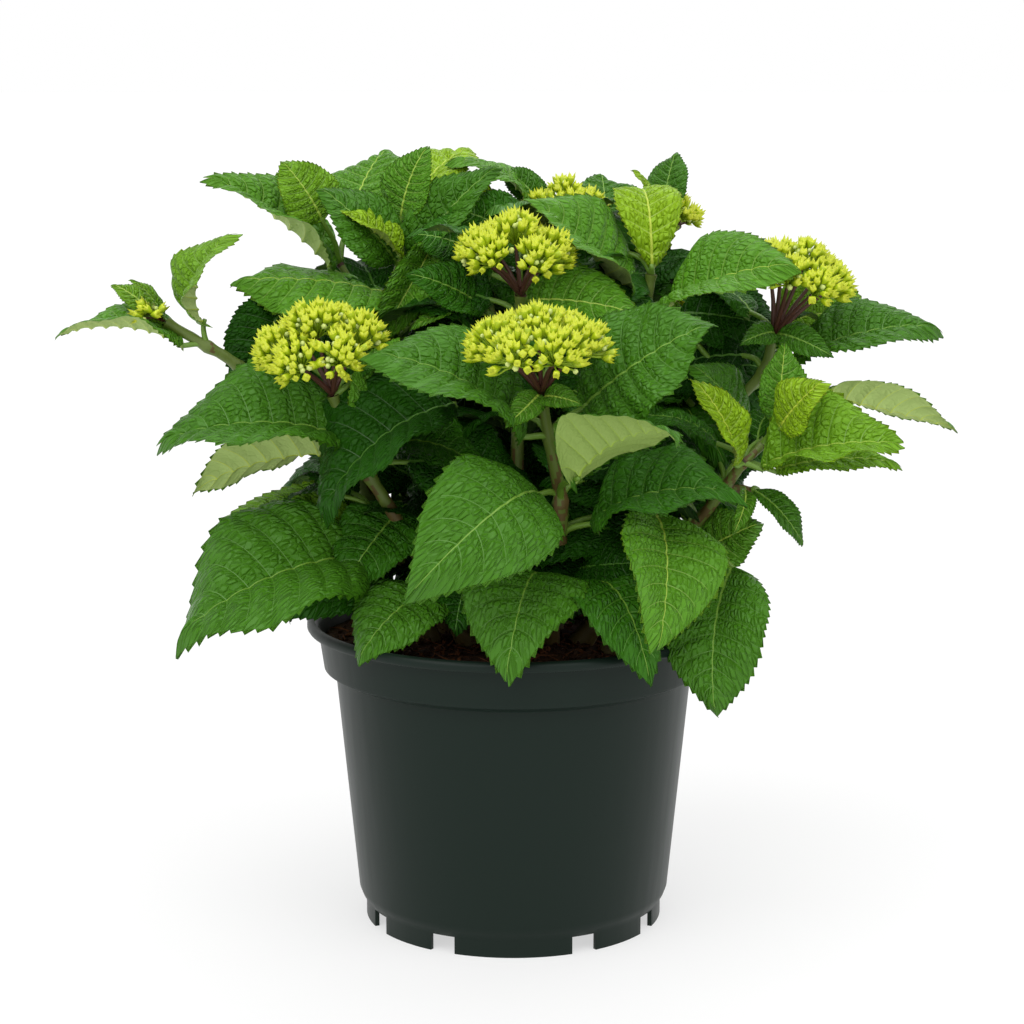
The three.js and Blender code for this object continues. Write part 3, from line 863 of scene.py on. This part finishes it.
# the rest grow in opposite pairs, each a quarter turn on from the pair below
# first turn, lowest rise, highest rise, longest leaf in mm, tones from low to high, whether all round
leafPairs = {
    "back_left": (150, -12, 30, 120, (1, 4), True),
    "back_right": (30, -12, 30, 120, (1, 4), True),
    "back": (100, -12, 32, 116, (1, 4), True),
    "back_left_low": (140, -22, 12, 104, (1, 3), True),
    "back_right_low": (40, -22, 12, 104, (1, 3), True),
    "back_low": (95, -26, 8, 100, (1, 3), True),
    "top_back": (70, 5, 35, 96, (1, 4), True),
    # on the shoots below, the paired leaves turn into the middle of the crown and take the darkest tones,
    # painted shade
    "upper_left": (100, -8, 12, 88, (0, 2), False),
    "upper_right": (85, -8, 12, 84, (0, 2), False),
    "top": (80, -5, 20, 88, (0, 2), False),
    "left": (120, -10, 15, 88, (0, 2), False),
    "left_low": (130, -20, 5, 84, (0, 1), False),
    "right": (50, -10, 15, 88, (0, 2), False),
    "right_mid": (60, -10, 15, 84, (0, 2), False),
    "right_low": (40, -20, 5, 78, (0, 1), False),
    "front": (90, -10, 15, 72, (0, 1), False),
    "front_left": (120, -10, 10, 72, (0, 1), False),
}
pairHabit = {"stray": 14, "seat": (16, 26), "length": (0.78, 1.0), "width": (0.62, 0.74), "roll": (-12, 12),
             "droop": (0.08, 0.18), "fold": (8, 20)}
# the inner leaves take only the darkest tones, painted shade for the middle of the crown
inner = {"from": 188, "each": 7, "halfWidth": 130, "footWidth": 78, "seat": (14, 24), "rise": (-35, 18),
         "length": (58, 84), "width": (0.64, 0.76), "roll": (25, 60), "droop": (0.05, 0.14), "fold": (8, 18),
         "tones": (0, 1, 1, 2)}
# how far any leaf strays from a flat one: shares of its width or length, and degrees of twist
leafHabit = {"wave": (0.02, 0.05), "curl": (0.05, 0.35), "hook": (0.02, 0.14), "sickle": (-0.03, 0.03),
             "twist": (-28, 28)}
crown = {
    "halfWidth": 165,
    "shoulderFrom": 300,
    "shoulderRise": 160,
    "shoulder": 1.15,  # how square the crown may be: 1 is a diamond
    "rightFoot": (205, 120, 0.55),  # height and reach in mm where the right side starts, and its slope
    "shadeFoot": (190, 90, 0.6),  # the same for the shaded leaves inside
    "slack": 4,
    "rim": (130, 184),  # nearer the middle than this, a leaf stays above this height
    "tries": 10,
}
regionOf = {"left": "Left", "right": "Right", "upper": "Top", "top": "Top", "front": "Front", "back": "Back"}


def leafFrom(seat, turn, rise, length, share, roll, droop, fold, tone, rng):
    return {"seat": np.array(seat, dtype=float) * mm, "turn": turn, "rise": rise, "length": length * mm,
            "width": length * share * mm, "roll": roll, "droop": droop * 1.3, "fold": fold, "tone": tone,
            **{trait: rng.uniform(*span) for trait, span in leafHabit.items()}}


# keep a leaf inside the crown's outline, and lift it over the rim of the pot
def fitLeaf(leaf, side):
    low, high = [np.array(corner) / mm for corner in cadBox]
    height, reach, slope = crown[side]
    for _ in range(crown["tries"]):
        way = heading(leaf["turn"], leaf["rise"]) * leaf["length"]
        chord = (leaf["seat"] + way * np.linspace(0, 1, 6)[:, None]) / mm
        tip = chord[-1]
        above = max(0.0, tip[2] - crown["shoulderFrom"])
        shoulder = abs(tip[0]) / crown["halfWidth"] + above / crown["shoulderRise"] > crown["shoulder"]
        if shoulder or (tip < low - crown["slack"]).any() or (tip > high + crown["slack"]).any():
            leaf["length"] *= 0.93
            leaf["width"] *= 0.93
            leaf["rise"] -= 5 if shoulder and leaf["rise"] > 0 else 0
        out = tip[0] if side == "rightFoot" else abs(tip[0])
        if out > reach + slope * (tip[2] - height):
            leaf["length"] *= 0.93
            leaf["width"] *= 0.95
        radius = np.hypot(chord[:, 0], chord[:, 1])
        if ((radius < crown["rim"][0]) & (chord[:, 2] < crown["rim"][1])).any():
            leaf["rise"] += 7
    return leaf


def dealShape(habit, rng):
    return [rng.uniform(*habit[trait]) for trait in ("width", "roll", "droop", "fold")]


def pileFor(piles, name):
    return piles[regionOf[name.split("_")[0]]]


def growPairs(name, rng):
    firstTurn, lowRise, highRise, longest, tones, allRound = leafPairs[name]
    nodes = climb(name)[1:]
    for k, node in enumerate(nodes):
        climbed = k / max(1, len(nodes) - 1)
        for half in (0, 180):
            turn = firstTurn + 90 * k + half + rng.uniform(-pairHabit["stray"], pairHabit["stray"])
            if not allRound and math.sin(math.radians(turn)) < 0.1:  # its forward leaves are placed one by one
                turn = firstTurn + rng.uniform(-55, 55)
            length = longest * rng.uniform(*pairHabit["length"]) * (1 - 0.3 * climbed)
            rise = lowRise + (highRise - lowRise) * climbed + rng.uniform(-8, 8)
            seat = np.array(node) + heading(turn, 35) * rng.uniform(*pairHabit["seat"])
            tone = round(tones[0] + (tones[1] - tones[0]) * climbed + rng.uniform(-0.6, 0.6))
            share, roll, droop, fold = dealShape(pairHabit, rng)
            leaf = leafFrom(seat, turn, rise, length, share, roll, droop, fold, min(7, max(0, tone)), rng)
            yield fitLeaf(leaf, "rightFoot" if allRound else "shadeFoot"), allRound


# shaded leaves off the shoots, out to either side, that close the middle of the crown
def growInner(name, rng):
    path = [spot for spot in smoothPath(climb(name), 6) if spot[2] > inner["from"] and spot[1] > -62]
    if not path or name == "left_long":  # the long shoot is bare, with sky round it
        return
    side = -1 if path[-1][1] > 40 else 1  # the shoots behind lean theirs the other way
    for k in range(inner["each"]):
        spot = path[int((k + rng.random()) / inner["each"] * (len(path) - 1))]
        inward = rng.uniform(0, 40) * side
        turn = inward if (k + len(name)) % 2 else 180 - inward
        seat = spot + heading(turn, 20) * rng.uniform(*inner["seat"])
        reach = abs(seat[0] + 60 * math.cos(math.radians(turn)))
        if reach > min(inner["halfWidth"], inner["footWidth"] + 0.6 * (seat[2] - 190)):
            continue
        rise, length = rng.uniform(*inner["rise"]), rng.uniform(*inner["length"])
        share, roll, droop, fold = dealShape(inner, rng)
        tone = rng.choice(inner["tones"])
        leaf = leafFrom(seat, turn, rise, length, share, roll * side, droop, fold, tone, rng)
        yield fitLeaf(leaf, "rightFoot")


def growLeaves(rng):
    piles = {region: newPile() for region in ("Left", "Right", "Top", "Front", "Back", "Inner")}
    stalks = []
    for name, rows in placedLeaves.items():
        for row in rows:
            leaf = leafFrom(*row, rng)
            layBlade(pileFor(piles, name), leaf, rng, True)
            stalks.append((name, leaf))
    for name in leafPairs:
        for leaf, fine in growPairs(name, rng):
            layBlade(pileFor(piles, name), leaf, rng, fine)
            stalks.append((name, leaf))
    for name in shoots:
        for leaf in growInner(name, rng):
            layBlade(piles["Inner"], leaf, rng, False)
            stalks.append((name, leaf))
    return piles, stalks


piles, stalks = growLeaves(random.Random(17))
leafPieces = {}
for region, pile in piles.items():
    piece = leafPieces[region] = pilePiece("leaves" + region, pile, leafSlots)
    selectOnly(piece)
    bpy.ops.object.shade_smooth_by_angle(angle=math.radians(75))
    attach(piece, "root")
    print("leaves", region, sum(len(side) - 2 for side in pile["faces"]), "triangles")
for node in frame["record"]["subparts"]:
    if node["node"].startswith("foliage_"):
        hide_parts(node["node"])


# thin round things in bulk: leaf stalks, flower rays and bud stalks
def layTube(pile, path, radii, slot, sides):
    path = np.array(path, dtype=float)
    points, faces = [], []
    for spot, way, radius in zip(path, np.gradient(path, axis=0), radii):
        way = unit(way)
        across = unit(np.cross(way, (0.31, 0.2, 0.93) if abs(way[2]) < 0.9 else (1, 0.2, 0)))
        over = np.cross(way, across)
        for side in range(sides):
            turn = 2 * math.pi * side / sides
            points.append(spot + (across * math.cos(turn) + over * math.sin(turn)) * radius)
    for k in range(len(path) - 1):
        for a in range(sides):
            b = (a + 1) % sides
            faces.append([k * sides + a, k * sides + b, (k + 1) * sides + b, (k + 1) * sides + a])
    faces.append(list(range(sides))[::-1])
    faces.append([(len(path) - 1) * sides + a for a in range(sides)])
    addToPile(pile, np.array(points), faces, [slot] * len(faces))


stalk = {
    "radius": (2.4, 0.95),  # at the shoot, and what it loses up to the blade, mm
    "hump": 0.12,
    "sag": 0.15,
    "into": 4,  # how far it runs on into the blade
    "nodeWithin": 48,  # a node this near the blade is where the stalk leaves the shoot
    "sides": 7,
}


# a stalk leaves the nearest point of its shoot that is no higher than its blade, or the node beside that
def stalkFoot(name, seat):
    path = smoothPath(climb(name), 12)
    below = [spot for spot in path if spot[2] < seat[2] + 4] or path[:1]
    foot = min(below, key=lambda spot: np.linalg.norm(spot - seat + np.array([0, 0, 10])))
    nodes = np.array(climb(name)[1:])
    node = nodes[np.argmin(np.linalg.norm(nodes - foot, axis=1))]
    return node if np.linalg.norm(node - seat) < stalk["nodeWithin"] else foot


def makeStalks():
    pile = newPile()
    for name, leaf in stalks:
        seat, way = leaf["seat"] / mm, heading(leaf["turn"], leaf["rise"])
        foot = stalkFoot(name, seat)
        reach = np.linalg.norm(seat - foot)
        knee = (foot + seat) / 2 + np.array([0, 0, stalk["hump"] * reach]) - way * stalk["sag"] * reach
        line = smoothPath([foot, knee, seat, seat + way * stalk["into"]], 3)
        shares = np.linspace(0, 1, len(line))
        size = 0.7 + 0.3 * min(1.0, leaf["length"] / 0.1)
        radii = (stalk["radius"][0] - stalk["radius"][1] * shares ** 0.6) * size * mm
        layTube(pile, np.array(line) * mm, radii, 0, stalk["sides"])
    return pilePiece("leafStalks", pile, [stalkGreen])


stalkPiece = makeStalks()
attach(stalkPiece, "root")
print("the leaf stalks are on")


# a flower head is a flattened dome of pointed four-sepalled buds on branching rays
flowerHeads = {
    # middle of the dome, turn and angle of its lean, radius, height, buds, where its rays fork
    "left": ((-106, -72, 347), -128, 24, 33, 22, 270, (-99, -66, 316)),
    "top": ((1, -40, 395), -90, 5, 30, 20, 240, (4, -34, 368)),
    "front": ((13, -118, 350), -95, 6, 35, 16, 270, (15, -100, 321)),
    "right": ((162, -20, 380), -25, 22, 28, 18, 190, (147, -14, 342)),
    "left_long": ((-204, -35, 359), -150, 30, 7, 6, 14, (-195, -26, 352)),
    "top_back": ((30, 62, 414), -90, 0, 22, 16, 120, (29, 60, 396)),
    "upper_right_back": ((95, 72, 409), 30, 10, 15, 13, 70, (98, 68, 400)),
    "back_left": ((-104, 100, 350), 130, 14, 31, 22, 220, (-99, 91, 326)),
    "back_right": ((112, 102, 354), 50, 14, 31, 22, 220, (105, 94, 330)),
    "back": ((6, 132, 360), 90, 14, 29, 22, 190, (6, 124, 334)),
}

# rays rise to seven hubs, each under a small dome of its own; shares are of the head's radius or height
dome = {
    "hubs": 7,
    "hubAway": 0.62,
    "hubTurn": 1.047,  # a sixth of a turn
    "hubRise": (0.06, -0.42),  # the middle one and the rest
    "hubDome": 0.42,
    "budLift": 0.16,
    "budTurn": 2.39996,  # the golden angle, as in a sunflower
    "rayRadius": (1.6, 0.9),
    "stalkRadius": (0.7, 0.55, 0.5),
}

bud = {
    "length": (5.6, 8.2),
    "width": (1.8, 2.6),  # radius
    "profile": [(0.0, 0.25), (0.25, 0.62), (0.55, 0.92), (0.8, 0.98)],
    "sepals": [(0.86, 1.3), (0.5, 0.84), (0.86, 1.1), (0.5, 0.84)],  # a long tip, a dip, a short tip, a dip
    "closed": 0.2,  # share that are still round
    "closedSize": (1.2, 1.9),
}


# an open bud: rings of eight, the last one with the four tips of its sepals
def budShape():
    points, faces, roles = [(0, 0, -0.06)], [], []
    turns = [math.pi * k / 4 for k in range(8)]
    for height, width in bud["profile"]:
        for k, turn in enumerate(turns):
            lobe = width * (1.08 if k % 2 == 0 else 0.9)
            points.append((lobe * math.cos(turn), lobe * math.sin(turn), height))
    for k, turn in enumerate(turns):
        away, height = bud["sepals"][k % 4]
        points.append((away * math.cos(turn), away * math.sin(turn), height))
    points.append((0, 0, 0.7))
    rings = len(bud["profile"]) + 1
    for k in range(8):
        n = (k + 1) % 8
        faces.append([0, 1 + n, 1 + k])
        roles.append(2)
        for ring in range(rings - 1):
            a, b = 1 + ring * 8, 1 + (ring + 1) * 8
            faces.append([a + k, a + n, b + n, b + k])
            roles.append((2, 0, 0, 1)[ring])
        a = 1 + (rings - 1) * 8
        faces.append([a + k, a + n, len(points) - 1])
        roles.append(1)
    return np.array(points, dtype=float), faces, roles


# a bud that is still shut: three rings of six and two poles
def closedShape():
    points = np.array([(math.cos(t) * r, math.sin(t) * r, z) for z, r in ((-0.8, 0.55), (0, 1), (0.75, 0.6))
                       for t in np.arange(6) * math.pi / 3] + [(0, 0, -1.05), (0, 0, 1.05)])
    faces = [[r * 6 + k, r * 6 + (k + 1) % 6, r * 6 + 6 + (k + 1) % 6, r * 6 + 6 + k]
             for r in (0, 1) for k in range(6)]
    faces += [[(k + 1) % 6, k, 18] for k in range(6)] + [[12 + k, 12 + (k + 1) % 6, 19] for k in range(6)]
    return points, faces, [3] * len(faces)


def turned(vector, axis, sideways):
    across = unit(np.cross(axis, sideways))
    return vector @ np.array([across, np.cross(axis, across), axis])


def layHubs(rays, head, rng):
    middle, axis, radius, height, fork = head
    hubs = []
    for k in range(dome["hubs"]):
        away = dome["hubAway"] if k else 0.0
        turn = k * dome["hubTurn"] + rng.uniform(-0.15, 0.15)
        rise = dome["hubRise"][1] + rng.uniform(-0.1, 0.1) if k else dome["hubRise"][0]
        local = np.array([away * math.cos(turn) * radius, away * math.sin(turn) * radius, rise * height]) * mm
        hub = middle + turned(local, axis, (0, 1, 0.1))
        knee = fork + (hub - fork) * 0.5 + axis * 0.08 * np.linalg.norm(hub - fork)
        radii = np.linspace(*dome["rayRadius"], 7) * min(1, radius / 25) * mm
        layTube(rays, smoothPath([fork, knee, hub], 3), radii, 0, 6)
        hubs.append(hub)
    return hubs


def makeFlowers(rng):
    openBud, closedBud = budShape(), closedShape()
    rays, heads = newPile(), newPile()

    def put(shape, spot, way, size):
        points, faces, roles = shape
        addToPile(heads, turned(points * size, way, heading(rng.uniform(0, 360), 12)) + spot, faces, roles)

    for middle, leanTo, lean, radius, height, buds, fork in flowerHeads.values():
        middle, fork = np.array(middle, dtype=float) * mm, np.array(fork, dtype=float) * mm
        axis = unit(heading(leanTo, 90 - lean))
        hubs = layHubs(rays, (middle, axis, radius, height, fork), rng)
        for k in range(buds):
            hub, ring = hubs[k % dome["hubs"]], k // dome["hubs"]
            away = 0.98 * math.sqrt((ring + 0.5) / (buds / dome["hubs"]))
            turn = ring * dome["budTurn"] + rng.uniform(-0.3, 0.3)
            outer = unit(hub - middle + axis * 0.9 * radius * mm)
            local = np.array([away * math.cos(turn), away * math.sin(turn),
                              math.sqrt(max(0.0, 1 - away * away))])
            local = turned(local, outer, (0.2, 0.1, 0.9))
            reach = dome["hubDome"] * radius * rng.uniform(0.88, 1.06)
            spot = hub + (local * reach + axis * dome["budLift"] * height) * mm
            way = unit(local + axis * 0.35 + np.array([rng.uniform(-0.3, 0.3) for _ in range(3)]))
            if rng.random() < bud["closed"]:
                put(closedBud, spot - way * mm, way, rng.uniform(*bud["closedSize"]) * mm)
            else:
                long = rng.uniform(*bud["length"]) * mm
                wide = rng.uniform(*bud["width"]) * mm
                spot = spot - way * long * 0.45
                put(openBud, spot, way, np.array([wide, wide, long]))
            layTube(rays, [hub, (hub + spot) / 2 + way * mm, spot], np.array(dome["stalkRadius"]) * mm, 1, 4)
    return (pilePiece("flowerBuds", heads, [budLime, budYellow, budGreen, budCream]),
            pilePiece("flowerRays", rays, [flowerStalk, budGreen]))


budPiece, rayPiece = makeFlowers(random.Random(29))
for piece in (budPiece, rayPiece):
    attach(piece, "root")
print("the flower heads are out:", len(budPiece.data.polygons), "faces")


# a pale lit floor, a sky that dims overhead, soft lights and the camera
stage = {
    "floor": 40.0,  # radius in metres
    "glow": 0.6,
    "horizon": 1.0,  # strength of the sky
    "overhead": 0.3,
    "dimFrom": 0.22,  # sine of the height where it begins to dim
    "dimTo": 0.55,
    "lights": [  # turn, height in degrees, spread, strength
        (-125, 52, 60, 1.9),
        (-40, 45, 50, 0.9),
        (80, 62, 70, 1.5),
    ],
}

selectOnly()
bpy.ops.mesh.primitive_circle_add(vertices=96, radius=stage["floor"], fill_type="NGON", location=(0, 0, 0))
floor = bpy.context.object
floor.name = "studioFloor"
floorPaint, floorShader = newMaterial("mattFloorPaint", "#9a9a9a", 0.9, Specular_IOR_Level=0.0)
floorShader.inputs["Emission Color"].default_value = (1, 1, 1, 1)
floorShader.inputs["Emission Strength"].default_value = stage["glow"]
floorPaint.cycles.emission_sampling = "NONE"
floor.data.materials.append(floorPaint)

world = bpy.data.worlds.new("studio")
bpy.context.scene.world = world
world.use_nodes = True
sky = world.node_tree.nodes["Background"]
way = addNode(world, "ShaderNodeTexCoord").outputs["Generated"]
up = addNode(world, "ShaderNodeSeparateXYZ", links={"Vector": way}).outputs["Z"]
dim = addNode(world, "ShaderNodeMapRange", {"interpolation_type": "SMOOTHSTEP"},
              {"From Min": stage["dimFrom"], "From Max": stage["dimTo"], "To Min": stage["horizon"],
               "To Max": stage["overhead"]}, {"Value": up})
world.node_tree.links.new(dim.outputs["Result"], sky.inputs["Strength"])
sky.inputs["Color"].default_value = (1, 1, 1, 1)

for turn, rise, spread, strength in stage["lights"]:
    selectOnly()
    place = Vector(heading(turn, rise)) * 3
    bpy.ops.object.light_add(type="SUN", location=place, rotation=place.to_track_quat("Z", "Y").to_euler())
    light = bpy.context.object.data
    light.angle = math.radians(spread)
    light.energy = strength

camera = {"place": (-0.0008, -1.445, 0.496), "pitch": 10.08, "lens": 89.1}
selectOnly()
bpy.ops.object.camera_add(location=camera["place"], rotation=(math.radians(90 - camera["pitch"]), 0, 0))
eye = bpy.context.object
eye.data.lens = camera["lens"]
eye.data.sensor_width = 36
bpy.context.scene.camera = eye
bpy.context.scene.view_settings.view_transform = "Standard"
